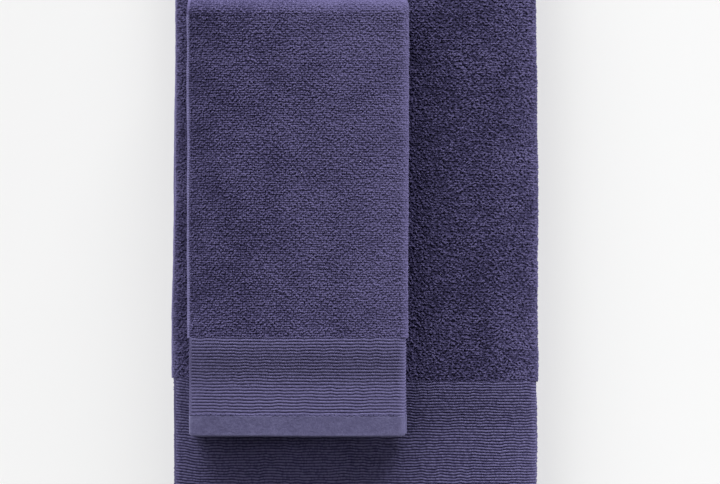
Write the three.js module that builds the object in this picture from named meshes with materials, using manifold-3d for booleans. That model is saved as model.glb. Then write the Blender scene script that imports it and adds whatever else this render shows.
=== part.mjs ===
// A set of two folded terry towels: a bath towel, folded lengthwise and then crosswise in thirds,
// and on it a hand towel, folded lengthwise in thirds and then crosswise in half.
// Millimetres. +Z is up, +Y runs towards the towels' rear folds, and -Y towards their open hem ends.
// The origin is on the surface that the set lies on, below the middle of the bath towel.
import * as THREE from "three";
import Module from "manifold-3d";
import { mergeVertices } from "three/addons/utils/BufferGeometryUtils.js";

const wasm = await Module();
wasm.setup();

// ---------------------------------------------------------------- driving dimensions

const GAP = 0.3; // clearance between neighbouring pieces
const TERRY_PITCH = 4.2; // height that one layer of looped terry takes in a stack
const FLAT_PITCH = 3.4; // height that one layer of ribbed border or hem takes

const bath = { width: 254, centreX: 0, front: -237, rear: 237, border: 80.6, hem: 16.5 };
const hand = { width: 153, centreX: -39.5, front: -175.5, rear: 128, border: 53.2, hem: 15 };
const BATH_CUT_LENGTH = 1395; // of the bath towel laid out flat, hems sewn
const TOP_HEM_SETBACK = 1.5; // how far the bath towel's top hem ends behind the fold below it

const BORDER_INSET = 1.4; // how far the terry stands out past the border on each side
const SELVEDGE = 1.7; // width of a bound side edge
const THREAD = 0.5; // width and height of the hem's sewing thread

const ARC_STEPS = 8; // straight steps in each half-round of a lengthwise fold
const BEND_STEPS = 16; // straight steps in each crosswise half-turn

// ---------------------------------------------------------------- one layer of cloth and its stack

const weaveOf = (pitch) => ({ pitch, thickness: pitch - GAP });
const terryWeave = weaveOf(TERRY_PITCH);
const flatWeave = weaveOf(FLAT_PITCH);
const LAYERS = 3; // layers in a leaf, after folding lengthwise in thirds
const stackHeight = (weave) => LAYERS * weave.pitch - GAP;
const leafHeight = stackHeight(terryWeave);
const leafPitch = LAYERS * TERRY_PITCH;
const flatWidth = (towel) => towel.width - 2 * BORDER_INSET;
const terryEdge = BORDER_INSET + SELVEDGE + GAP; // how far the terry of a flap stops short of the fold
const seamGroove = THREAD + 2 * GAP; // between border and hem, where the thread lies

// ---------------------------------------------------------------- materials

const clothMaterial = (name, color, roughness) =>
  new THREE.MeshStandardMaterial({ name, color, roughness, metalness: 0 });

const materials = {
  terry: clothMaterial("terry", "#423d5c", 0.95),
  border: clothMaterial("ribbed_border", "#4d4869", 0.85),
  hem: clothMaterial("hem", "#5c5a7c", 0.8),
  selvedge: clothMaterial("selvedge", "#68648a", 0.8),
  thread: clothMaterial("sewing_thread", "#5f5b80", 0.6),
};

// ---------------------------------------------------------------- outlines

// Points along an arc about a centre, both ends included. Angles are in degrees.
function arcPoints(centre, radius, from, to) {
  return Array.from({ length: ARC_STEPS + 1 }, (_, i) => {
    const angle = THREE.MathUtils.degToRad(from + ((to - from) * i) / ARC_STEPS);
    return new THREE.Vector2(Math.cos(angle), Math.sin(angle)).multiplyScalar(radius).add(centre);
  });
}

// The line that cloth folded lengthwise in thirds follows, seen from its end: the inner flap runs
// to the left fold, the middle panel lies under it, and the outer flap comes back over both from
// the right fold. Both flaps stop short of the folded width by `edge`.
function letterFoldLine(width, { pitch, thickness }, edge) {
  const ground = thickness / 2;
  const left = new THREE.Vector2(-width / 2 + ground + pitch / 2, ground + pitch / 2);
  const right = new THREE.Vector2(width / 2 - ground - pitch, ground + pitch);
  return [
    new THREE.Vector2(right.x - edge, ground + pitch),
    ...arcPoints(left, pitch / 2, 90, 270),
    ...arcPoints(right, pitch, -90, 90),
    new THREE.Vector2(-width / 2 + edge, ground + 2 * pitch),
  ];
}

// A closed outline of even thickness along a line.
function ribbon(line, thickness) {
  const quarterTurn = Math.PI / 2;
  const side = (sign) =>
    line.map((point, i) => {
      const before = line[Math.max(i - 1, 0)];
      const after = line[Math.min(i + 1, line.length - 1)];
      const normal = after.clone().sub(before).normalize().rotateAround(new THREE.Vector2(), quarterTurn);
      return point.clone().addScaledVector(normal, (sign * thickness) / 2);
    });
  return [...side(1), ...side(-1).reverse()];
}

// The section of a leaf, standing on zero. Its middle panel is the lowest layer, or the highest
// where the leaf is turned over.
function leafSection(width, weave, turned, edge, thickness = weave.thickness) {
  const line = letterFoldLine(width, weave, edge);
  if (turned) line.forEach((point) => (point.y = stackHeight(weave) - point.y));
  return ribbon(line, thickness);
}

// ---------------------------------------------------------------- solids

// Extrudes an X-Z outline along Y, between two places given in either order.
function alongY(outline, from, to) {
  const depth = Math.abs(to - from);
  const geometry = new THREE.ExtrudeGeometry(new THREE.Shape(outline), { depth, bevelEnabled: false });
  return geometry.rotateX(Math.PI / 2).translate(0, Math.max(from, to), 0);
}

function solidOf(geometry) {
  geometry.deleteAttribute("normal");
  geometry.deleteAttribute("uv");
  const merged = mergeVertices(geometry);
  const vertProperties = merged.attributes.position.array;
  const triVerts = new Uint32Array(merged.index.array);
  return new wasm.Manifold(new wasm.Mesh({ numProp: 3, vertProperties, triVerts }));
}

function geometryOf(solid) {
  const { vertProperties, triVerts } = solid.getMesh();
  const geometry = new THREE.BufferGeometry();
  geometry.setAttribute("position", new THREE.BufferAttribute(vertProperties, 3));
  geometry.setIndex(new THREE.BufferAttribute(triVerts, 1));
  geometry.computeVertexNormals();
  return geometry;
}

// A section of height z carried half a turn about an axis along X, on the side of +Y or -Y.
function halfTurn(section, radiusAt, side) {
  const profile = section.map((point) => new THREE.Vector2(radiusAt(point.y), point.x));
  if (THREE.ShapeUtils.isClockWise(profile)) profile.reverse();
  const reach = Math.max(...profile.map((point) => point.x)) + GAP;
  const width = 2 * Math.max(...profile.map((point) => Math.abs(point.y))) + GAP;
  const ring = new THREE.LatheGeometry([...profile, profile[0]], 2 * BEND_STEPS).rotateZ(-Math.PI / 2);
  const half = new THREE.BoxGeometry(width, reach, 2 * reach).translate(0, side * (reach / 2 + GAP), 0);
  return geometryOf(solidOf(ring).intersect(solidOf(half)));
}

// ---------------------------------------------------------------- the scene graph

const towelSet = new THREE.Group();

function add(name, geometry, material, x = 0, y = 0, z = 0) {
  const mesh = new THREE.Mesh(geometry, material);
  mesh.name = name;
  mesh.position.set(x, y, z);
  towelSet.add(mesh);
}

function addTerry(name, towel, { from, to, turned, floor }) {
  const section = leafSection(towel.width, terryWeave, turned, terryEdge);
  add(`${name}_terry`, alongY(section, from, to), materials.terry, towel.centreX, 0, floor);
}

// The flat-woven end of a leaf: ribbed border, hem, and the thread that sews the hem.
// `out` is +1 or -1, the way along Y in which the cloth ends.
function addHemmedEnd(name, towel, { borderStart, hemStart, hemEnd, out, turned, floor }) {
  const addStrip = (part, material, from, to, thickness) => {
    const section = leafSection(flatWidth(towel), flatWeave, turned, 0, thickness);
    add(`${name}_${part}`, alongY(section, from, to), material, towel.centreX, 0, floor);
  };
  const halfGroove = (out * seamGroove) / 2;
  const halfThread = (out * THREAD) / 2;
  addStrip("border", materials.border, borderStart + out * GAP, hemStart - halfGroove);
  addStrip("hem", materials.hem, hemStart + halfGroove, hemEnd);
  addStrip("hem_thread", materials.thread, hemStart - halfThread, hemStart + halfThread, THREAD);
}

// The bound edges of the two flaps, along the terry.
function addSelvedges(name, towel, { from, to, turned, floor }) {
  const leftSide = -towel.width / 2 + BORDER_INSET;
  const rightFold = towel.width / 2 - terryWeave.thickness / 2 - terryWeave.pitch;
  const flaps = [
    { flap: "inner", layer: 1, across: rightFold - BORDER_INSET - SELVEDGE / 2 },
    { flap: "outer", layer: 2, across: leftSide + SELVEDGE / 2 },
  ];
  for (const { flap, layer, across } of flaps) {
    const height = layer * terryWeave.pitch + terryWeave.thickness / 2;
    const z = floor + (turned ? leafHeight - height : height);
    const strip = new THREE.BoxGeometry(SELVEDGE, Math.abs(to - from), flatWeave.thickness);
    const middle = (from + to) / 2;
    add(`${name}_${flap}_selvedge`, strip, materials.selvedge, towel.centreX + across, middle, z);
  }
}

// The looped part of a leaf, with its bound edges.
function addField(name, towel, extent) {
  addTerry(name, towel, extent);
  addSelvedges(name, towel, extent);
}

// A whole leaf that ends in a hem: from its crosswise fold at `foldEnd` to its hem at `hemEnd`.
function addHemmedLeaf(name, towel, { foldEnd, hemEnd, turned, floor, borderFloor = floor }) {
  const out = Math.sign(hemEnd - foldEnd);
  const hemStart = hemEnd - out * towel.hem;
  const borderStart = hemStart - out * towel.border;
  addField(name, towel, { from: foldEnd, to: borderStart, turned, floor });
  addHemmedEnd(name, towel, { borderStart, hemStart, hemEnd, out, turned, floor: borderFloor });
}

// A crosswise fold that joins two leaves whose layers lie from `bottom` to `top`.
function addFold(name, towel, { axisY, bottom, top, side, middleOutside }) {
  const outerRadius = (top - bottom) / 2;
  const innerRadius = outerRadius - leafHeight;
  const radiusAt = middleOutside ? (z) => outerRadius - z : (z) => innerRadius + z;
  const section = leafSection(towel.width, terryWeave, false, BORDER_INSET);
  add(name, halfTurn(section, radiusAt, side), materials.terry, towel.centreX, axisY, bottom + outerRadius);
}

// ---------------------------------------------------------------- bath towel

const [baseFloor, tuckedFloor, topFloor] = [0, 1, 2].map((leaf) => leaf * leafPitch);
const frontRadius = (tuckedFloor + leafHeight) / 2;
const rearRadius = (topFloor + leafHeight) / 2;
const bathFrontAxis = bath.front + frontRadius;
const bathRearAxis = bath.rear - rearRadius;
const topHemEnd = bath.front + TOP_HEM_SETBACK;
const clothUsed =
  bathRearAxis -
  topHemEnd +
  (bathRearAxis - bathFrontAxis) +
  Math.PI * (rearRadius + frontRadius - leafHeight);
const tuckedHemEnd = bathFrontAxis + BATH_CUT_LENGTH - clothUsed;

addField("bath_base", bath, {
  from: bathFrontAxis + GAP / 2,
  to: bathRearAxis - GAP / 2,
  turned: false,
  floor: baseFloor,
});
addFold("bath_front_fold", bath, {
  axisY: bathFrontAxis,
  bottom: baseFloor,
  top: tuckedFloor + leafHeight,
  side: -1,
  middleOutside: true,
});
addHemmedLeaf("bath_tucked", bath, {
  foldEnd: bathFrontAxis + GAP / 2,
  hemEnd: tuckedHemEnd,
  turned: true,
  floor: tuckedFloor,
});
addFold("bath_rear_fold", bath, {
  axisY: bathRearAxis,
  bottom: baseFloor,
  top: topFloor + leafHeight,
  side: 1,
  middleOutside: true,
});
addHemmedLeaf("bath_top", bath, {
  foldEnd: bathRearAxis - GAP / 2,
  hemEnd: topHemEnd,
  turned: true,
  floor: topFloor,
});

// ---------------------------------------------------------------- hand towel

const lowerFloor = topFloor + leafPitch;
const upperFloor = lowerFloor + leafPitch;
const handRadius = (upperFloor + leafHeight - lowerFloor) / 2;
const handAxis = hand.rear - handRadius;

addHemmedLeaf("hand_lower", hand, {
  foldEnd: handAxis - GAP / 2,
  hemEnd: hand.front,
  turned: true,
  floor: lowerFloor,
});
addFold("hand_fold", hand, {
  axisY: handAxis,
  bottom: lowerFloor,
  top: upperFloor + leafHeight,
  side: 1,
  middleOutside: false,
});
addHemmedLeaf("hand_upper", hand, {
  foldEnd: handAxis - GAP / 2,
  hemEnd: hand.front,
  turned: false,
  floor: upperFloor,
  borderFloor: lowerFloor + LAYERS * FLAT_PITCH,
});

export default towelSet;
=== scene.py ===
"""Looks of a folded terry towel set: a hand towel lying on a bath towel, seen from straight above.

Each towel is one long cloth, folded lengthwise in thirds and then crosswise. Every part of it is made
from the same two lines: the letter fold that the cloth follows across its width, and the path of
leaves and crosswise bends that it follows along its length. Metres, in the frame of the CAD model.
"""

import math

import bmesh
import bpy
import numpy as np
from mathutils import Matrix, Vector


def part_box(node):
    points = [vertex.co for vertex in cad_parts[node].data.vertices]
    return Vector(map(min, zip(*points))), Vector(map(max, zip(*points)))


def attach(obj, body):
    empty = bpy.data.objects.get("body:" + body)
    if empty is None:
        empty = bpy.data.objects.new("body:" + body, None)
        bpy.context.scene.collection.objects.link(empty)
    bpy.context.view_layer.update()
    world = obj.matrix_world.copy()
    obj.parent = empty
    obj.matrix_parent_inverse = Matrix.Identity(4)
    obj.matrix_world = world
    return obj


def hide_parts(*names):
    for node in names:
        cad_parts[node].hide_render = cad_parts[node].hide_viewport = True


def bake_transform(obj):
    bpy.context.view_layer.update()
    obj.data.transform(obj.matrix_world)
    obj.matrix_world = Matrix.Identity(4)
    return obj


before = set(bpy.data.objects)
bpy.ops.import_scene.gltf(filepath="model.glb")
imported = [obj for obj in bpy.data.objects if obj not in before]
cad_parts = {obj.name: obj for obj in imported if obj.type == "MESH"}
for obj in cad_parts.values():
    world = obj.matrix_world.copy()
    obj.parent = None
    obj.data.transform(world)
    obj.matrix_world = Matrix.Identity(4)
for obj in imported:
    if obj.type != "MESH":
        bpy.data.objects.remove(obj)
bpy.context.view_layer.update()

MM = 0.001

# ---------------------------------------------------------------- sizes, read from the CAD model

LEAVES = ["bath_base", "bath_tucked", "bath_top", "hand_lower", "hand_upper"]
LEAF_FLOORS = [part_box(f"{leaf}_terry")[0].z for leaf in LEAVES]
LEAF_PITCH = LEAF_FLOORS[1] - LEAF_FLOORS[0]
LEAF_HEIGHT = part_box("bath_base_terry")[1].z - LEAF_FLOORS[0]
GAP = LEAF_PITCH - LEAF_HEIGHT
TERRY_PITCH = LEAF_PITCH / 3  # each leaf is three layers of cloth
TERRY_HALF = (TERRY_PITCH - GAP) / 2
FLAT_PITCH = (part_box("bath_top_border")[1].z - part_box("bath_top_border")[0].z + GAP) / 3
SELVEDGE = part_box("hand_upper_outer_selvedge")[1].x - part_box("hand_upper_outer_selvedge")[0].x


def marks(leaf):
    """Places along Y of the parts of a leaf, from its fold to its free end. `sign` is the way they run."""
    terry_box, border_box, hem_box = (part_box(f"{leaf}_{part}") for part in ("terry", "border", "hem"))
    sign = 1 if hem_box[0].y > terry_box[1].y else -1
    near, far = (0, 1) if sign > 0 else (1, 0)
    return {
        "sign": sign,
        "fold": terry_box[near].y - sign * GAP / 2,
        "border_start": border_box[near].y,
        "border_end": border_box[far].y,
        "hem_start": hem_box[near].y,
        "hem_end": hem_box[far].y,
    }


def towel_sizes(leaf, fold, **character):
    """Width, middle, rear and border of a towel, from a hemmed leaf and its fold, and its cloth's look."""
    low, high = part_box(f"{leaf}_terry")
    border_low, border_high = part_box(f"{leaf}_border")
    return {
        "width": high.x - low.x,
        "middle": (high.x + low.x) / 2,
        "rear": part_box(fold)[1].y,
        "inset": (high.x - low.x - border_high.x + border_low.x) / 2,
        "border_start": border_high.y,
        **character,
    }


# `wander` is how far the loops stray from their rows and `stretch` how long they lie across the towel.
# `drift` and `kinks` are how far the ribs stray, in ribs. `pattern` is where on the dyed cloth the towel
# was cut, and `lift` how much lighter its yarn is. `lean` is painted light: how much lighter the
# pile is painted towards the right. `matted` is how much alike its loops look, which evens out the painted
# shade between them, and `worn` how much painted highlight lightens the pile along the lengthwise
# folds. `sink` is how much thinner the stack is along its folds than in its middle, and `sink_reach` how
# far in from them that begins.
BATH = towel_sizes(
    "bath_top", "bath_rear_fold", rib=1.95 * MM, wander=0.75, stretch=0.85, drift=0.22, kinks=0.25,
    pattern=0, lift=0, lean=0.03, matted=0, worn=0.2, sink=0.17, sink_reach=38 * MM,
)
HAND = towel_sizes(
    "hand_upper", "hand_fold", rib=2.13 * MM, wander=0.35, stretch=0.6, drift=0.12, kinks=0.16,
    pattern=90 * MM, lift=0.28, lean=0.14, matted=0.35, worn=0.05, sink=0.14, sink_reach=60 * MM,
)

# ---------------------------------------------------------------- the cloth

GROUND_HALF = 0.55 * MM  # half the thickness of the ground weave that the loops stand on
PILE = 1.05 * MM  # height of the tallest loops
LOOP_ACROSS, LOOP_ALONG = 1.35 * MM, 1.56 * MM  # from one loop to the next
STRAY_ACROSS, STRAY_ALONG = 0.5, 0.35  # range of a loop's place about an even one, in loops
LOOP_TURN = 1.1  # range of the ways that loops point, in radians. `wander` widens all three ranges
LOOP_THICKNESS = 0.5  # half the width of a loop, in rows
SHORTEST_LOOP = 0.42  # height of the shortest loops, as a share of the tallest
CLUMPS = 0.14  # how much taller and shorter the loops are from clump to clump
STEP = LOOP_ALONG / 4  # grid step where the pile shows
STEP_OPENED = 0.9 * MM  # grid step on faces that only show when a towel is unfolded
STEP_HIDDEN = 12 * MM  # grid step where layers press together
SIDE_ZONE = 9 * MM  # how far in from a fold the fine grid reaches on hidden faces
PILE_END = 1.8 * MM  # length over which the pile rounds off at a border
FOLD_HIGHLIGHT_POWER = 8  # how closely the painted highlight keeps to the folds
PACKED = 0.88  # thickness of the cloth between pressed layers, as a share of its free one
PRESSED_TONE = 0.6  # lightness of the yarn where layers press together
EDGE_TONE = 0.8  # lightness of the flat strip beside the pile

FLAT_CORE = 0.75 * MM  # half the thickness of the border's ground weave
RIB_HEIGHT = 0.42 * MM
RIB_STEPS = 8  # grid rows in one rib
CORD_SHARE = 0.86  # how much of a rib its cord fills
CORDS_STRETCHED = 0.6  # how much lower the cords are round a lengthwise fold
FLAT_SIDE = 0.9  # height of the border's flat side edges, as a share of its cords
FLAT_SIDE_TONE = 0.3  # how much lighter they are than their height makes them
YARN_CHANGE = 0.3  # how much the height of a cord changes from yarn to yarn
BORDER_TUCK = 0.8 * MM  # how far the border reaches in under the pile

HEM_HALF = 1.2 * MM
HEM_THIN = 0.1 * MM  # half the thickness of the hem at its very edge
HEM_ROUND = 1.4 * MM
HEM_ROUND_STEPS = 8  # grid rows round the hem's edge
HEM_TUCK = 0.4 * MM  # how far the hem reaches in under the border
HEM_WEAVE = 0.06 * MM  # depth of the weave that shows on the hem
PUCKER = 0.2 * MM  # depth of the puckers along the hem's seam
PUCKER_REACH = 2.5 * MM
HIGHLIGHT_WIDTH = 1.1 * MM  # width of the painted highlight along the hem's edges
RIM_HIGHLIGHT, SEAM_SHADE, WEAVE_TONE = 0.35, -0.25, 0.09  # what these add to the lightness of the hem: a painted highlight along its edges, painted shade where it thins at its seam and round its outer edge, and spots that follow its weave
CORNER = 2.8 * MM  # radius of the hem's corners

EDGING_HALF = 1.05 * MM  # half the thickness of a bound edge
WHIP_PITCH = 1.7 * MM  # from one turn of the edging's thread to the next
WHIP_DEPTH = 0.12  # as a share of the edging's thickness
STITCH_PITCH = 3.4 * MM  # from one stitch to the next
STITCH_SHARE = 0.78  # length of a stitch, as a share of the pitch
THREAD_HALF = 0.22 * MM  # half the thickness of the sewing thread

TABLE = 256  # rows and columns of a noise table
rng = np.random.default_rng(7)
TABLES = rng.random((12, TABLE, TABLE))


def noise(a, b, table):
    """Smooth noise from -1 to 1 over a plane, with features one unit wide."""
    values = TABLES[table]
    i, j = np.floor(a).astype(int), np.floor(b).astype(int)
    fa, fb = a - i, b - j
    fa, fb = fa * fa * (3 - 2 * fa), fb * fb * (3 - 2 * fb)
    i0, i1, j0, j1 = i % TABLE, (i + 1) % TABLE, j % TABLE, (j + 1) % TABLE
    low = values[i0, j0] * (1 - fa) + values[i1, j0] * fa
    high = values[i0, j1] * (1 - fa) + values[i1, j1] * fa
    return 2 * (low * (1 - fb) + high * fb) - 1


def smooth(low, high, x):
    """0 at low, 1 at high, and a smooth slope between them."""
    t = np.clip((x - low) / (high - low), 0, 1)
    return t * t * (3 - 2 * t)


def loops(across, along, wander, stretch):
    """Height of the looped pile at places on the flat cloth: 0 in the gaps to 1 on the tallest loops. The
    columns of loops wander, and the rows half as much."""
    a = across / LOOP_ACROSS + wander * noise(across / (9 * MM), along / (7 * MM), 0)
    b = along / LOOP_ALONG + 0.5 * wander * noise(across / (7 * MM), along / (9 * MM), 1)
    column, row = np.floor(a).astype(int), np.floor(b).astype(int)
    height = np.zeros(np.broadcast(a, b).shape)
    for right in (-1, 0, 1):
        for up in (-1, 0, 1):
            i, j = (column + right) % TABLE, (row + up) % TABLE
            da = a - (column + right) - 0.5 - STRAY_ACROSS * (TABLES[2][i, j] - 0.5) * (1 + wander)
            db = b - (row + up) - 0.5 - STRAY_ALONG * (TABLES[3][i, j] - 0.5) * (1 + wander)
            turn = LOOP_TURN * (TABLES[4][i, j] - 0.5) * (1 + wander)
            along_loop = (da * np.cos(turn) + db * np.sin(turn)) / stretch
            across_loop = (db * np.cos(turn) - da * np.sin(turn)) / LOOP_THICKNESS
            reach = 1 - along_loop**2 - across_loop**2
            top = SHORTEST_LOOP + (1 - SHORTEST_LOOP) * TABLES[5][i, j]
            height = np.maximum(height, top * np.sqrt(np.clip(reach, 0, 1)))
    return height


# ---------------------------------------------------------------- the letter fold across the width

INNER_FLAP, LEFT_FOLD, MIDDLE, RIGHT_FOLD, OUTER_FLAP = range(5)


def letter_fold(part, t, width, edge):
    """Place (x, height above the middle panel) and outward direction on the folded cloth's centre line.
    `part` and `t` say where along the cloth, and `edge` is how much is left off at both of its edges."""
    pitch = TERRY_PITCH
    left = -width / 2 + TERRY_HALF + pitch / 2
    right = width / 2 - TERRY_HALF - pitch
    turn_left = math.pi / 2 + math.pi * t
    turn_right = -math.pi / 2 + math.pi * t
    one, zero = np.ones_like(t), np.zeros_like(t)
    parts = [part == k for k in range(5)]
    x = np.select(parts, [
        right - edge + (left - right + edge) * t,
        left + pitch / 2 * np.cos(turn_left),
        left + (right - left) * t,
        right + pitch * np.cos(turn_right),
        right + (-width / 2 + edge - right) * t,
    ])
    h = np.select(parts, [
        pitch * one,
        pitch / 2 * (1 + np.sin(turn_left)),
        zero,
        pitch * (1 + np.sin(turn_right)),
        2 * pitch * one,
    ])
    nx = np.select(parts, [zero, np.cos(turn_left), zero, np.cos(turn_right), zero])
    nh = np.select(parts, [one, np.sin(turn_left), -one, np.sin(turn_right), one])
    return x, h, nx, nh


def part_lengths(width, edge):
    """Length of cloth in each part of the letter fold."""
    left = -width / 2 + TERRY_HALF + TERRY_PITCH / 2
    right = width / 2 - TERRY_HALF - TERRY_PITCH
    inner_flap = right - edge - left
    outer_flap = right + width / 2 - edge
    return [inner_flap, math.pi * TERRY_PITCH / 2, right - left, math.pi * TERRY_PITCH, outer_flap]


def spaced(length, fine_start, fine_end, coarse):
    """Places from 0 to length: STEP apart near the ends that are fine, and `coarse` apart elsewhere."""
    if coarse <= STEP:
        return np.linspace(0, length, max(2, round(length / STEP) + 1))
    first = SIDE_ZONE if fine_start else 0
    last = length - (SIDE_ZONE if fine_end else 0)
    pieces, at = [np.zeros(1)], 0.0
    for end, gap in ((first, STEP), (last, coarse), (length, STEP)):
        if end > at + 1e-9:
            pieces.append(np.linspace(at, end, max(1, round((end - at) / gap)) + 1)[1:])
            at = end
    return np.concatenate(pieces)


def exposures(part, side, at, length, seen):
    """How free the loops stand at places along one side of a part of the letter fold: 1 where they stand
    free, 0 where layers press together."""
    if side > 0 and seen:
        return np.ones_like(at)
    if side > 0:
        to_fold = length - at if part == INNER_FLAP else np.minimum(at, length - at)
        return 1 - smooth(0.4 * SIDE_ZONE, SIDE_ZONE, to_fold)
    near_edge = 1 - smooth(0.2 * SIDE_ZONE, 0.7 * SIDE_ZONE, length - at)
    return near_edge * (part == OUTER_FLAP)


def outline(width, edge, faces):
    """Columns of a folded cloth's closed surface. `faces` gives the grid step of the broad faces that can
    be seen. Each column has its part, place in the part, side (+1 out, -1 in), place on the flat cloth,
    distance from the nearer free edge, and exposure."""
    lengths = part_lengths(width, edge)
    starts = np.concatenate([[0], np.cumsum(lengths)])
    columns = []
    for side in (1, -1):
        for part in range(5)[::side]:
            length = lengths[part]
            bend = part in (LEFT_FOLD, RIGHT_FOLD)
            if side > 0:
                coarse = STEP if bend else faces.get(part, STEP_HIDDEN)
                at = spaced(length, part != INNER_FLAP, True, coarse)
            else:
                coarse = length / 4 if bend else STEP_HIDDEN
                at = spaced(length, False, part == OUTER_FLAP, coarse)
            exposure = exposures(part, side, at, length, bend or part in faces)
            last = OUTER_FLAP if side > 0 else INNER_FLAP
            stop = len(at) if part == last else len(at) - 1
            for k in list(range(len(at))[::side])[:stop]:
                columns.append((part, at[k] / length, side, starts[part] + at[k], exposure[k]))
    part, t, side, across, exposure = (np.array(c) for c in zip(*columns))
    from_edge = np.minimum(across, starts[-1] - across)
    return {
        "part": part, "t": t, "side": side, "across": across, "from_edge": from_edge, "exposure": exposure,
    }


# ---------------------------------------------------------------- the path along the length

BATH_FLARE = 0.06  # how much the bath towel's terry widens towards its border, per metre
LEFT_PULL = 2.4 * MM  # how far the bath towel's left fold is drawn back
PULL_REACH = 20 * MM  # how far in from that fold the cloth is drawn with it
SIDE_DRIFT, SIDE_RIPPLE = 0.9 * MM, 0.35 * MM  # how far the lengthwise folds stray, slowly and quickly
END_DRIFT = 0.6 * MM  # how far the ends and the crosswise folds stray
SURFACE_DRIFT = 0.5 * MM  # how far the broad faces rise and fall
SETTLE_RUN = 34 * MM  # length over which the layers close up where the thick pile ends
SETTLE = FLAT_PITCH / TERRY_PITCH  # thickness of the flat weave, as a share of the terry's
TUCKED_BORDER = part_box("bath_tucked_border")[0].y
TUCKED_SETTLE = 0.86  # how far the layers over the tucked border close up


def settle(y, z, towel):
    """Height after the layers sink together where the cloth between them is flat woven."""
    flat_bath = 1 - (1 - SETTLE) * smooth(BATH["border_start"], BATH["border_start"] - SETTLE_RUN, y)
    flat_hand = 1 - (1 - SETTLE) * smooth(HAND["border_start"], HAND["border_start"] - SETTLE_RUN, y)
    tucked = 1 - (1 - TUCKED_SETTLE) * smooth(TUCKED_BORDER, TUCKED_BORDER + SETTLE_RUN, y)
    bridged = flat_bath if towel is BATH else np.ones_like(y)  # the hand towel is too stiff to sink so
    shares = [np.ones_like(y), tucked, bridged, flat_hand, flat_hand]
    total = np.minimum(z, 0)
    for floor, share in zip(LEAF_FLOORS, shares):
        total = total + share * np.clip(z - floor, 0, LEAF_PITCH)
    return total + np.clip(z - LEAF_FLOORS[-1] - LEAF_PITCH, 0, None)


def near_sides(towel, x):
    """0 in the middle of a folded towel, rising to 1 along its lengthwise folds."""
    from_side = towel["width"] / 2 - np.abs(x - towel["middle"])
    return np.clip(1 - from_side / towel["sink_reach"], 0, 1) ** 2


def near_rear(towel, y):
    """0 along most of a folded towel, rising to 1 at its rear fold."""
    return np.clip(1 - (towel["rear"] - y) / towel["sink_reach"], 0, 1) ** 2


def sunk(towel, x, y):
    """0 in the middle of a folded towel, rising to 1 along its sides and its rear fold."""
    return 1 - (1 - near_sides(towel, x)) * (1 - near_rear(towel, y))


def wobble(points, towel):
    """Small uneven shifts that neighbouring layers share, so that no fold is ruler-straight, and the
    sinking of the stack along its folds. The underside stays flat."""
    x, y, z = points[..., 0], points[..., 1], points[..., 2]
    rise = smooth(0, 6 * MM, z)
    moved = points.copy()
    moved[..., 0] += SIDE_DRIFT * noise(y / (95 * MM), z / (13 * MM), 6)
    moved[..., 0] += SIDE_RIPPLE * noise(y / (23 * MM), z / (6 * MM), 7)
    moved[..., 1] += END_DRIFT * noise(x / (70 * MM), z / (13 * MM), 8)
    moved[..., 2] += SURFACE_DRIFT * rise * noise(x / (55 * MM), y / (60 * MM), 9)
    moved[..., 2] -= BATH["sink"] * np.clip(z, 0, LEAF_FLOORS[3]) * sunk(BATH, x, y)
    if towel is HAND:  # its rear fold closes towards the hinge, so that both leaves meet level when open
        kept = LEAF_FLOORS[3] + LEAF_PITCH * near_rear(HAND, y)
        moved[..., 2] -= HAND["sink"] * (z - kept) * sunk(HAND, x, y)
    if towel is BATH:
        upper = smooth(LEAF_FLOORS[1], LEAF_FLOORS[2], z)
        moved[..., 0] -= BATH_FLARE * upper * x * np.clip(y, BATH["border_start"], None)
        moved[..., 1] += LEFT_PULL * smooth(PULL_REACH, 0, x + BATH["width"] / 2)
    return moved


def straight(name, places):
    """Rows of a flat leaf at these Y places: where the middle panel's centre line lies, and which way the
    other layers stack on it."""
    middle_low = name in ("bath_base", "hand_upper")
    floor = LEAF_FLOORS[LEAVES.index(name)]
    z = floor + TERRY_HALF if middle_low else floor + LEAF_HEIGHT - TERRY_HALF
    return {
        "y": places,
        "z": np.full_like(places, z),
        "dy": np.zeros_like(places),
        "dz": np.full_like(places, 1 if middle_low else -1),
    }


def half_turn(axis_y, axis_z, radius, angles, inwards):
    """Rows of a crosswise bend about an axis, at these angles. `inwards` is +1 where the layers stack
    towards the axis, and -1 where they stack away from it."""
    cos, sin = np.cos(angles), np.sin(angles)
    return {
        "y": axis_y + radius * cos,
        "z": axis_z + radius * sin,
        "dy": -inwards * cos,
        "dz": -inwards * sin,
    }


# ---------------------------------------------------------------- meshes


def add_object(name, mesh, tone):
    """An object with this mesh, whose points carry as `tone` the yarn's own lightness and painted shade in
    its hollows.
    """
    layer = mesh.attributes.new("tone", "FLOAT", "POINT")
    layer.data.foreach_set("value", tone.astype(np.float32).ravel())
    made = bpy.data.objects.new(name, mesh)
    bpy.context.scene.collection.objects.link(made)
    return made


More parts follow.
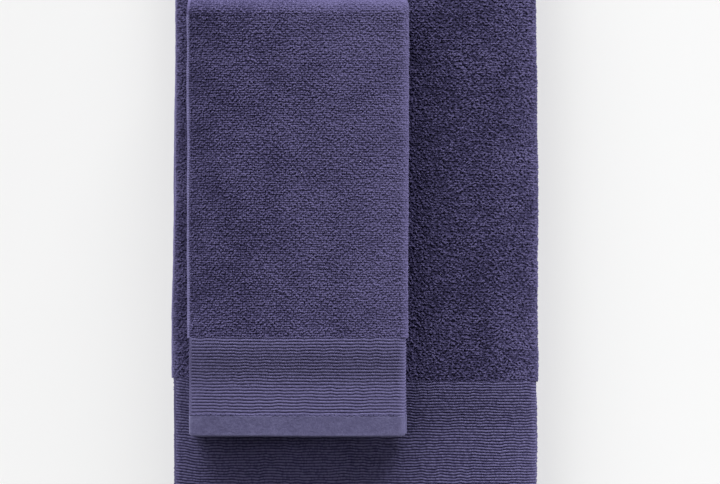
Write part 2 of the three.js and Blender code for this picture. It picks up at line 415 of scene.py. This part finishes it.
def closed_mesh(name, points, tone):
    """A closed mesh from a grid of points, round in its columns, with a flat cap at both ends."""
    rows, cols = points.shape[:2]
    index = np.arange(rows * cols).reshape(rows, cols)
    nxt = np.roll(index, -1, axis=1)
    quads = np.stack([index[:-1], nxt[:-1], nxt[1:], index[1:]], axis=-1).reshape(-1, 4)
    flat = points.reshape(-1, 3)
    corner = flat[quads]
    normal = np.cross(corner[:, 2] - corner[:, 0], corner[:, 3] - corner[:, 1])
    facing_out = (normal * (corner.mean(1) - flat.mean(0))).sum() > 0
    if not facing_out:
        quads = quads[:, ::-1]
    caps = [index[0][::-1], index[-1]] if facing_out else [index[0], index[-1][::-1]]
    mesh = bpy.data.meshes.new(name)
    mesh.vertices.add(len(flat))
    mesh.vertices.foreach_set("co", flat.astype(np.float32).ravel())
    corners = np.concatenate([quads.ravel(), *caps]).astype(np.int32)
    starts = np.append(np.arange(len(quads) + 1) * 4, len(quads) * 4 + cols).astype(np.int32)
    mesh.loops.add(len(corners))
    mesh.loops.foreach_set("vertex_index", corners)
    mesh.polygons.add(len(starts))
    mesh.polygons.foreach_set("loop_start", starts)
    mesh.polygons.foreach_set("use_smooth", np.append(np.ones(len(quads), bool), [False, False]))
    mesh.update(calc_edges=True)
    return add_object(name, mesh, np.broadcast_to(tone, (rows, cols)))


def join_tubes(name, tubes):
    """One mesh of many short closed tubes, from an array of (tube, ring, side) points."""
    count, rings, sides = tubes.shape[:3]
    index = np.arange(rings * sides).reshape(rings, sides)
    nxt = np.roll(index, -1, axis=1)
    quads = np.stack([index[:-1], nxt[:-1], nxt[1:], index[1:]], axis=-1).reshape(-1, 4)
    faces = [list(map(int, q)) for q in quads] + [list(map(int, index[0][::-1])), list(map(int, index[-1]))]
    all_faces = [[v + k * rings * sides for v in face] for k in range(count) for face in faces]
    mesh = bpy.data.meshes.new(name)
    mesh.from_pydata(tubes.reshape(-1, 3).tolist(), [], all_faces)
    surface = bmesh.new()
    surface.from_mesh(mesh)
    bmesh.ops.recalc_face_normals(surface, faces=surface.faces)
    surface.to_mesh(mesh)
    surface.free()
    mesh.polygons.foreach_set("use_smooth", np.ones(len(mesh.polygons), bool))
    return add_object(name, mesh, np.full(len(mesh.vertices), 0.5))


def place(rows, x, h, out_x, out_h, towel):
    """Points of the stack: centre-line place (x, h) on every row, then pushed out by (out_x, out_h).
    The centre line settles with the layers under it, and the thickness of the cloth doesn't."""
    y = rows["y"][:, None] + h * rows["dy"][:, None]
    z = settle(y, rows["z"][:, None] + h * rows["dz"][:, None], towel)
    y = y + out_h * rows["dy"][:, None]
    z = z + out_h * rows["dz"][:, None]
    return wobble(np.stack(np.broadcast_arrays(towel["middle"] + x + out_x, y, z), axis=-1), towel)


def folded_surface(rows, columns, towel, width, edge, offset, narrowing=1.0):
    """Points of a folded cloth's surface, `offset` from its centre line."""
    x, h, nx, nh = letter_fold(columns["part"], columns["t"], width, edge)
    out = columns["side"] * offset
    return place(rows, x * narrowing, h, nx * out, nh * out, towel)


# ---------------------------------------------------------------- materials

PATCH_SCALE = 45  # patches about 22 mm across
FIBRE_SCALE = 1800  # fibres about half a millimetre thick
SHEEN_TINT = "#8f8bb4"


def linear(hex_colour):
    """A linear colour from an sRGB hex one."""
    parts = [int(hex_colour[i:i + 2], 16) / 255 for i in (1, 3, 5)]
    return [p / 12.92 if p <= 0.04045 else ((p + 0.055) / 1.055) ** 2.4 for p in parts] + [1.0]


def attribute(nodes, name):
    """The value that each point of a mesh carries under this name."""
    made = nodes.new("ShaderNodeAttribute")
    made.attribute_name = name
    return made.outputs["Fac"]


def noise_node(nodes, links, scale, detail, stretch=(1, 1, 1)):
    """Noise over the piece's own coordinates, with features about 1/scale metres long."""
    position = nodes.new("ShaderNodeTexCoord")
    mapping = nodes.new("ShaderNodeMapping")
    mapping.inputs["Scale"].default_value = stretch
    texture = nodes.new("ShaderNodeTexNoise")
    texture.inputs["Scale"].default_value = scale
    texture.inputs["Detail"].default_value = detail
    links.new(position.outputs["Object"], mapping.inputs["Vector"])
    links.new(mapping.outputs["Vector"], texture.inputs["Vector"])
    return texture.outputs["Fac"]


def math_node(nodes, links, operation, *values):
    """The result of an operation on numbers or other nodes' values."""
    made = nodes.new("ShaderNodeMath")
    made.operation = operation
    for socket, value in zip(made.inputs, values):
        if isinstance(value, (int, float)):
            socket.default_value = value
        else:
            links.new(value, socket)
    return made.outputs["Value"]


def ramp(nodes, links, value, stops):
    """A colour ramp over a value, from (place, hex colour) stops."""
    made = nodes.new("ShaderNodeValToRGB")
    elements = made.color_ramp.elements
    while len(elements) < len(stops):
        elements.new(0.5)
    for element, (position, colour) in zip(elements, stops):
        element.position = position
        element.color = linear(colour)
    links.new(value, made.inputs["Fac"])
    return made.outputs["Color"]


def cloth_material(name, stops, mottle, yarn, bump, sheen, roughness, stretch=(1, 1, 1)):
    """Dyed cotton. The colour follows `tone`, which the mesh carries: mostly the height of the yarn, so
    that the ramp's dark end is painted shade in the hollows between loops and ribs. It varies by `mottle`
    in broad patches and by `yarn` from one fibre to the next."""
    material = bpy.data.materials.new(name)
    material.use_nodes = True
    nodes, links = material.node_tree.nodes, material.node_tree.links
    shader = nodes["Principled BSDF"]
    patches = noise_node(nodes, links, PATCH_SCALE, 3)
    fibres = noise_node(nodes, links, FIBRE_SCALE, 3, stretch)
    broad = math_node(nodes, links, "MULTIPLY_ADD", patches, mottle, -mottle / 2)
    fine = math_node(nodes, links, "MULTIPLY_ADD", fibres, yarn, -yarn / 2)
    varied = math_node(nodes, links, "ADD", broad, fine)
    value = math_node(nodes, links, "ADD", attribute(nodes, "tone"), varied)
    links.new(ramp(nodes, links, value, stops), shader.inputs["Base Color"])
    relief = nodes.new("ShaderNodeBump")
    relief.inputs["Distance"].default_value = bump
    links.new(fibres, relief.inputs["Height"])
    links.new(relief.outputs["Normal"], shader.inputs["Normal"])
    shader.inputs["Roughness"].default_value = roughness
    shader.inputs["Specular IOR Level"].default_value = 0.15
    shader.inputs["Sheen Weight"].default_value = sheen
    shader.inputs["Sheen Roughness"].default_value = 0.4
    shader.inputs["Sheen Tint"].default_value = linear(SHEEN_TINT)
    return material


TERRY = cloth_material(
    "terry_pile",
    [(0.0, "#1e1b31"), (0.5, "#373353"), (1.0, "#575277")],
    mottle=0.65, yarn=0.5, bump=0.3 * MM, sheen=0.5, roughness=0.95,
)
RIBBED = cloth_material(
    "ribbed_weave",
    [(0.0, "#18162d"), (0.5, "#393557"), (1.0, "#5d597d")],
    mottle=0.12, yarn=0.35, bump=0.12 * MM, sheen=0.1, roughness=0.9, stretch=(1.6, 0.8, 1),
)
PLAIN = cloth_material(
    "plain_weave",
    [(0.0, "#302d4a"), (0.5, "#565374"), (1.0, "#767497")],
    mottle=0.12, yarn=0.5, bump=0.1 * MM, sheen=0.1, roughness=0.85,
)
EDGING = cloth_material(
    "bound_edge",
    [(0.0, "#3c3860"), (0.5, "#625e86"), (1.0, "#8783ab")],
    mottle=0.1, yarn=0.25, bump=0.08 * MM, sheen=0.1, roughness=0.85,
)
THREAD = cloth_material(
    "spun_thread",
    [(0.0, "#3c3860"), (0.5, "#5f5b83"), (1.0, "#7a769e")],
    mottle=0.05, yarn=0.3, bump=0.05 * MM, sheen=0.1, roughness=0.7, stretch=(0.6, 2, 2),
)


# ---------------------------------------------------------------- finishing a piece


def finish_piece(piece, node, material, body=None):
    """Gives a new piece its material, hides the CAD node that it stands in for, and lets it ride on its
    body.
    """
    piece.data.materials.append(material)
    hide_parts(node)
    if body is not None:
        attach(piece, body)
    return piece


# ---------------------------------------------------------------- terry


def rounded(distance, reach):
    """0 at an edge, rising as a quarter circle to 1 at `reach` from it."""
    t = np.clip(distance / reach, 0, 1)
    return np.sqrt(1 - (1 - t) ** 2)


def terry(name, towel, rows, along, faces, edge=0.0, to_border=None):
    """The looped cloth of one leaf or bend. `along` is each row's place on the flat cloth."""
    columns = outline(towel["width"], edge, faces)
    across = columns["across"][None, :] + towel["pattern"]
    along = along[:, None]
    pile = loops(across, along, towel["wander"], towel["stretch"])
    clumps = 1 + CLUMPS * noise(across / (6 * MM), along / (5 * MM), 10)
    woven_edge = smooth(SELVEDGE - 0.3 * MM, SELVEDGE + 0.3 * MM, columns["from_edge"] + edge)[None, :]
    exposure = columns["exposure"][None, :]
    height = pile * clumps * woven_edge
    packed = PACKED * TERRY_HALF * np.ones_like(along)
    if to_border is not None:
        packed = packed * (1 - (1 - SETTLE) * smooth(SETTLE_RUN, 0, to_border))[:, None]
    offset = exposure * (GROUND_HALF + PILE * height) + (1 - exposure) * packed
    from_middle = 2 * letter_fold(columns["part"], columns["t"], towel["width"], edge)[0] / towel["width"]
    # Painted highlight: the pile is painted lighter along the lengthwise folds.
    # Painted light: the pile is painted lighter towards the right.
    shade = towel["lift"] + towel["lean"] * from_middle + towel["worn"] * from_middle**FOLD_HIGHLIGHT_POWER
    even = towel["matted"] * (1 + from_middle / 2)
    # Painted shade: the colour follows the height of the loops, so it is darker in the gaps between them;
    # `matted` evens that out, more towards the right.
    colour = height + even * (PRESSED_TONE - height) * woven_edge
    colour = colour + EDGE_TONE * (1 - woven_edge)
    tone = exposure * colour + (1 - exposure) * PRESSED_TONE + shade
    if to_border is not None:
        ending = rounded(to_border, PILE_END)[:, None]
        offset = FLAT_CORE * (1 - ending) + offset * ending
    points = folded_surface(rows, columns, towel, towel["width"], edge, offset)
    return closed_mesh(name, points, tone)


# ---------------------------------------------------------------- flat-woven ends


def border(name, leaf, towel, faces):
    """The ribbed band of one leaf. Its ribs run across the towel."""
    at, rib = marks(leaf), towel["rib"]
    reach = abs(at["hem_start"] - at["border_start"])
    from_start = np.linspace(-BORDER_TUCK, reach, round((reach + BORDER_TUCK) / rib * RIB_STEPS) + 1)
    rows = straight(leaf, at["border_start"] + at["sign"] * from_start)
    width = towel["width"] - 2 * towel["inset"]
    columns = outline(width, 0, faces)
    across, along = columns["across"][None, :], from_start[:, None]
    drift = towel["drift"] * noise(across / (24 * MM), along / (26 * MM), 0)
    kinks = towel["kinks"] * noise(across / (4.5 * MM), along / (9 * MM), 1)
    phase = along / rib + drift + kinks
    crest = 2 * (phase - np.floor(phase)) - 1
    cord = np.sqrt(np.clip(1 - (crest / CORD_SHARE) ** 2, 0, 1))
    yarns = 1 + YARN_CHANGE * noise(across / (0.9 * MM), np.floor(phase), 2)
    woven_edge = smooth(SELVEDGE - 0.5 * MM, SELVEDGE + 0.2 * MM, columns["from_edge"])[None, :]
    exposure = columns["exposure"][None, :]
    height = cord * yarns * woven_edge + FLAT_SIDE * (1 - woven_edge)
    on_fold = np.isin(columns["part"], (LEFT_FOLD, RIGHT_FOLD)) * np.sin(math.pi * columns["t"])
    offset = FLAT_CORE + exposure * RIB_HEIGHT * height * (1 - CORDS_STRETCHED * on_fold)
    # Painted shade: the colour follows the height of the cords, so it is darker in the grooves between the
    # ribs.
    colour = height + FLAT_SIDE_TONE * (1 - woven_edge)
    tone = exposure * colour + (1 - exposure) * PRESSED_TONE + towel["lift"]
    return closed_mesh(name, folded_surface(rows, columns, towel, width, 0, offset), tone)


def hem(name, leaf, towel, faces):
    """The turned-under plain end of one leaf, with rounded corners and small puckers along its seam."""
    at = marks(leaf)
    reach = abs(at["hem_end"] - at["hem_start"])
    rim = reach - HEM_ROUND * (1 - np.linspace(0, 1, HEM_ROUND_STEPS + 1)[1:]) ** 2
    from_start = np.concatenate([np.arange(-HEM_TUCK, reach - HEM_ROUND, STEP), rim])
    rows = straight(leaf, at["hem_start"] + at["sign"] * from_start)
    width = towel["width"] - 2 * towel["inset"]
    columns = outline(width, 0, faces)
    across, along = columns["across"][None, :], from_start[:, None]
    seam = np.exp(-np.clip(along, 0, None) / PUCKER_REACH)
    pucker = PUCKER * noise(across / (3.1 * MM), along / (9 * MM), 3) * seam
    swell = rounded(along + 0.6 * MM, 1.2 * MM) * rounded(reach - along, HEM_ROUND)
    weave = noise(across / (0.9 * MM), along / (0.9 * MM), 4)
    weave = weave + 0.6 * noise(across / (2.6 * MM), along / (3.4 * MM), 5)
    relief = columns["exposure"] * (pucker + HEM_WEAVE * weave)
    offset = HEM_THIN + (HEM_HALF - HEM_THIN) * swell + relief * swell
    corner = CORNER * (1 - rounded(reach - along, CORNER))
    narrowing = 1 - 2 * corner / width
    # Painted highlight along the hem's outer edge and its sides.
    rim_light = np.exp(-(reach - along) / HIGHLIGHT_WIDTH)
    side_light = np.exp(-columns["from_edge"] / HIGHLIGHT_WIDTH)[None, :]
    # Painted shade where the hem thins, at its seam and round its outer edge.
    tone = 0.5 + RIM_HIGHLIGHT * np.maximum(rim_light, side_light) + SEAM_SHADE * (1 - swell)
    tone = tone + WEAVE_TONE * weave
    points = folded_surface(rows, columns, towel, width, 0, offset, narrowing)
    return closed_mesh(name, points, tone)


# ---------------------------------------------------------------- edgings and stitches


def edging(name, leaf, towel, fold, end, x, h):
    """The bound edge of the cloth: a narrow strip along the terry of one leaf, whipped with thread."""
    places = np.linspace(fold, end, round(abs(fold - end) / STEP) + 1)
    angles = np.linspace(0, 2 * math.pi, 10, endpoint=False)[None, :]
    whipping = 1 + WHIP_DEPTH * np.sin(2 * math.pi * places / WHIP_PITCH)[:, None]
    unevenness = 1 + 0.15 * noise(places / (4 * MM), np.full_like(places, h / MM), 11)[:, None]
    out_x = (SELVEDGE / 2 + 0.2 * MM) * unevenness * np.cos(angles)
    out_h = EDGING_HALF * whipping * np.sin(angles)
    points = place(straight(leaf, places), x, h, out_x, out_h, towel)
    # Painted shade: darker where the edging is thinner, between the turns of its thread.
    tone = 0.55 + 0.35 * (whipping * unevenness - 0.8)
    return closed_mesh(name, points, tone)


def stitches(name, leaf, towel, faces):
    """The seam that holds the hem down: a row of short stitches on each face of the cloth that shows."""
    at = marks(leaf)
    width = towel["width"] - 2 * towel["inset"]
    lengths = part_lengths(width, 0)
    angles = np.linspace(0, 2 * math.pi, 6, endpoint=False)
    rows = straight(leaf, (at["border_end"] + at["hem_start"]) / 2 + THREAD_HALF * np.cos(angles))
    along_stitch = np.linspace(-0.5, 0.5, 5)
    tubes = []
    for part in faces:
        count = int(lengths[part] / STITCH_PITCH)
        places = (np.arange(count)[:, None] + 0.5 + STITCH_SHARE * along_stitch).ravel() * STITCH_PITCH
        arch = np.tile(THREAD_HALF * (0.4 + np.cos(math.pi * along_stitch)), count)
        x, h, nx, nh = letter_fold(np.full(len(places), part), places / lengths[part], width, 0)
        out = FLAT_CORE + 0.5 * RIB_HEIGHT + arch + THREAD_HALF * np.sin(angles)[:, None]
        points = place(rows, x, h, nx * out, nh * out, towel)
        tubes.append(points.reshape(len(angles), count, len(along_stitch), 3).transpose(1, 2, 0, 3))
    return join_tubes(name, np.concatenate(tubes))


# ---------------------------------------------------------------- the pieces of one leaf


def leaf_terry(leaf, towel, fold, end, start, way, faces, body, bordered=True):
    """The terry and both bound edges of one leaf. `start` is where on the flat cloth its fold lies, and
    `way` is +1 if the cloth runs on from there and -1 if it runs back."""
    step = STEP if faces else STEP_OPENED
    places = np.linspace(fold, end, round(abs(end - fold) / step) + 1)
    along = start + way * np.abs(places - fold)
    to_border = np.abs(places - end) if bordered else None
    pile = terry(f"{leaf}_pile", towel, straight(leaf, places), along, faces, SELVEDGE, to_border)
    finish_piece(pile, f"{leaf}_terry", TERRY, body)
    outer_x = -towel["width"] / 2 + SELVEDGE / 2
    inner_x = towel["width"] / 2 - TERRY_HALF - TERRY_PITCH - SELVEDGE / 2
    strips = []
    for which, x, height in (("outer", outer_x, 2 * TERRY_PITCH), ("inner", inner_x, TERRY_PITCH)):
        strip = edging(f"{leaf}_{which}_edging", leaf, towel, fold, end, x, height)
        strips.append(finish_piece(strip, f"{leaf}_{which}_selvedge", EDGING, body))
    return pile, strips


def leaf_end(leaf, towel, faces, body):
    """The ribbed border, the hem and its stitches of one leaf."""
    ribs = border(f"{leaf}_ribs", leaf, towel, faces)
    turned = hem(f"{leaf}_turned_hem", leaf, towel, faces)
    seam = stitches(f"{leaf}_stitches", leaf, towel, faces)
    return [
        finish_piece(ribs, f"{leaf}_border", RIBBED, body),
        finish_piece(turned, f"{leaf}_hem", PLAIN, body),
        finish_piece(seam, f"{leaf}_hem_thread", THREAD, body),
    ]


def hemmed_leaf(leaf, towel, start, way, faces, body):
    """All the pieces of a leaf that ends in a border and a hem."""
    at = marks(leaf)
    pile, strips = leaf_terry(leaf, towel, at["fold"], at["border_start"], start, way, faces, body)
    ends = leaf_end(leaf, towel, faces, body)


def crosswise_bend(name, node, towel, axis, radius, turn, inwards, outer, start, faces):
    """The terry of one crosswise bend about an axis (y, z). `radius` is that of the middle panel, `turn`
    the first and last angle, and the loops keep their size on the outermost layer, at `outer`."""
    angles = np.linspace(*turn, round(math.pi * outer / STEP) + 1)
    rows = half_turn(*axis, radius, angles, inwards)
    piece = terry(name, towel, rows, start + (outer - TERRY_HALF) * np.abs(angles - angles[0]), faces)
    return finish_piece(piece, node, TERRY)


# ---------------------------------------------------------------- the bath towel


def bend_axis(leaf, fold):
    """The (y, z) place of the axis that a crosswise fold turns about, where its leaf ends."""
    low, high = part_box(fold)
    return marks(leaf)["fold"], (low.z + high.z) / 2


REAR_AXIS = bend_axis("bath_top", "bath_rear_fold")
FRONT_AXIS = bend_axis("bath_tucked", "bath_front_fold")
HAND_AXIS = bend_axis("hand_upper", "hand_fold")
REAR_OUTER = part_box("bath_rear_fold")[1].y - REAR_AXIS[0]
FRONT_OUTER = FRONT_AXIS[0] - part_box("bath_front_fold")[0].y
HAND_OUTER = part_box("hand_fold")[1].y - HAND_AXIS[0]
REAR_RADIUS = REAR_OUTER - TERRY_HALF
FRONT_RADIUS = FRONT_OUTER - TERRY_HALF
HAND_RADIUS = HAND_OUTER - TERRY_HALF - 2 * TERRY_PITCH

QUARTER = math.pi / 2
top = marks("bath_top")
rear_start = abs(top["fold"] - top["border_start"])
base_start = rear_start + math.pi * REAR_RADIUS
base_length = REAR_AXIS[0] - FRONT_AXIS[0]
front_start = base_start + base_length
tucked_start = front_start + math.pi * FRONT_RADIUS

top_faces = {MIDDLE: STEP, OUTER_FLAP: STEP_OPENED}
hemmed_leaf("bath_top", BATH, rear_start, -1, top_faces, "bath_towel_top_leaf")
hemmed_leaf(
    "bath_tucked", BATH, tucked_start, 1, {MIDDLE: STEP_OPENED}, "bath_towel_base"
)
base, base_strips = leaf_terry(
    "bath_base", BATH, REAR_AXIS[0], FRONT_AXIS[0], base_start, 1, {}, "bath_towel_base", bordered=False
)

front = crosswise_bend(
    "bath_front_roll", "bath_front_fold", BATH, FRONT_AXIS, FRONT_RADIUS, (3 * QUARTER, QUARTER),
    inwards=1, outer=FRONT_OUTER, start=front_start, faces={MIDDLE: STEP},
)
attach(front, "bath_towel_base")

rear = crosswise_bend(
    "bath_rear_roll", "bath_rear_fold", BATH, REAR_AXIS, REAR_RADIUS, (QUARTER, -QUARTER),
    inwards=1, outer=REAR_OUTER, start=rear_start, faces={MIDDLE: STEP},
)
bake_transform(rear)

# ---------------------------------------------------------------- the hand towel

lower = marks("hand_lower")
hand_start = abs(lower["fold"] - lower["border_start"])
lower_faces = {MIDDLE: STEP_OPENED, OUTER_FLAP: STEP_OPENED}
upper_faces = {OUTER_FLAP: STEP, MIDDLE: STEP_OPENED}
hemmed_leaf("hand_lower", HAND, hand_start, -1, lower_faces, "hand_towel_lower_leaf")
hemmed_leaf(
    "hand_upper", HAND, hand_start + math.pi * (HAND_OUTER - TERRY_HALF), 1, upper_faces,
    "hand_towel_upper_leaf",
)
turnover = crosswise_bend(
    "hand_roll", "hand_fold", HAND, HAND_AXIS, HAND_RADIUS, (-QUARTER, QUARTER),
    inwards=-1, outer=HAND_OUTER, start=hand_start, faces={OUTER_FLAP: STEP, MIDDLE: STEP},
)
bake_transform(turnover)

# ---------------------------------------------------------------- floor, light and camera

FLOOR_SIZE = 20.0
FLOOR_DEPTH = 0.2 * MM  # how far the floor lies below the towels
bpy.ops.mesh.primitive_plane_add(size=FLOOR_SIZE, location=(0, 0, -FLOOR_DEPTH))
floor = bpy.context.object
floor.name = "studio_floor"
paper = bpy.data.materials.new("studio_paper")
paper.use_nodes = True
paper_shader = paper.node_tree.nodes["Principled BSDF"]
paper_shader.inputs["Base Color"].default_value = (0.4, 0.4, 0.4, 1)
paper_shader.inputs["Roughness"].default_value = 1.0
paper_shader.inputs["Specular IOR Level"].default_value = 0.0
paper_shader.inputs["Emission Color"].default_value = linear("#f1f1f1")
paper_shader.inputs["Emission Strength"].default_value = 0.61
floor.data.materials.append(paper)

# The towels get a faint even light from all round. The camera sees a pale backdrop behind the floor.
world = bpy.data.worlds.new("studio")
bpy.context.scene.world = world
world.use_nodes = True
world_nodes, world_links = world.node_tree.nodes, world.node_tree.links
fill_light = world_nodes["Background"]
fill_light.inputs["Color"].default_value = (1, 1, 1, 1)
fill_light.inputs["Strength"].default_value = 0.06
backdrop = world_nodes.new("ShaderNodeBackground")
backdrop.inputs["Color"].default_value = linear("#f8f8f8")
seen_or_lit = world_nodes.new("ShaderNodeMixShader")
is_seen, when_not_seen, when_seen = seen_or_lit.inputs
world_links.new(world_nodes.new("ShaderNodeLightPath").outputs["Is Camera Ray"], is_seen)
world_links.new(fill_light.outputs["Background"], when_not_seen)
world_links.new(backdrop.outputs["Background"], when_seen)
world_links.new(seen_or_lit.outputs["Shader"], world_nodes["World Output"].inputs["Surface"])


def soft_light(name, azimuth, elevation, strength, spread):
    """A large soft light a long way off. Its azimuth is 0 behind the towels and 90 on their right."""
    turn, rise = math.radians(azimuth), math.radians(elevation)
    came_from = (math.sin(turn) * math.cos(rise), math.cos(turn) * math.cos(rise), math.sin(rise))
    lamp = bpy.data.objects.new(name, bpy.data.lights.new(name, "SUN"))
    lamp.data.energy = strength
    lamp.data.angle = math.radians(spread)
    lamp.rotation_mode = "QUATERNION"
    lamp.rotation_quaternion = Vector(came_from).to_track_quat("Z", "Y")
    bpy.context.scene.collection.objects.link(lamp)


soft_light("rear_right_softbox", azimuth=18, elevation=18, strength=3.5, spread=30)
soft_light("rear_left_softbox", azimuth=-18, elevation=18, strength=2.7, spread=30)
soft_light("left_rear_softbox", azimuth=-45, elevation=25, strength=1.0, spread=35)
soft_light("left_softbox", azimuth=-85, elevation=14, strength=0.8, spread=30)
soft_light("left_high_softbox", azimuth=-85, elevation=55, strength=0.3, spread=40)
soft_light("right_softbox", azimuth=85, elevation=7, strength=3.1, spread=14)

CAMERA_PLACE = (0.0028, -0.0413, 2.6)
camera = bpy.data.objects.new("camera", bpy.data.cameras.new("camera"))
camera.location = CAMERA_PLACE  # it looks straight down
camera.data.sensor_width = 36
camera.data.lens = 184.6
bpy.context.scene.collection.objects.link(camera)
bpy.context.scene.camera = camera
bpy.context.scene.view_settings.view_transform = "Standard"
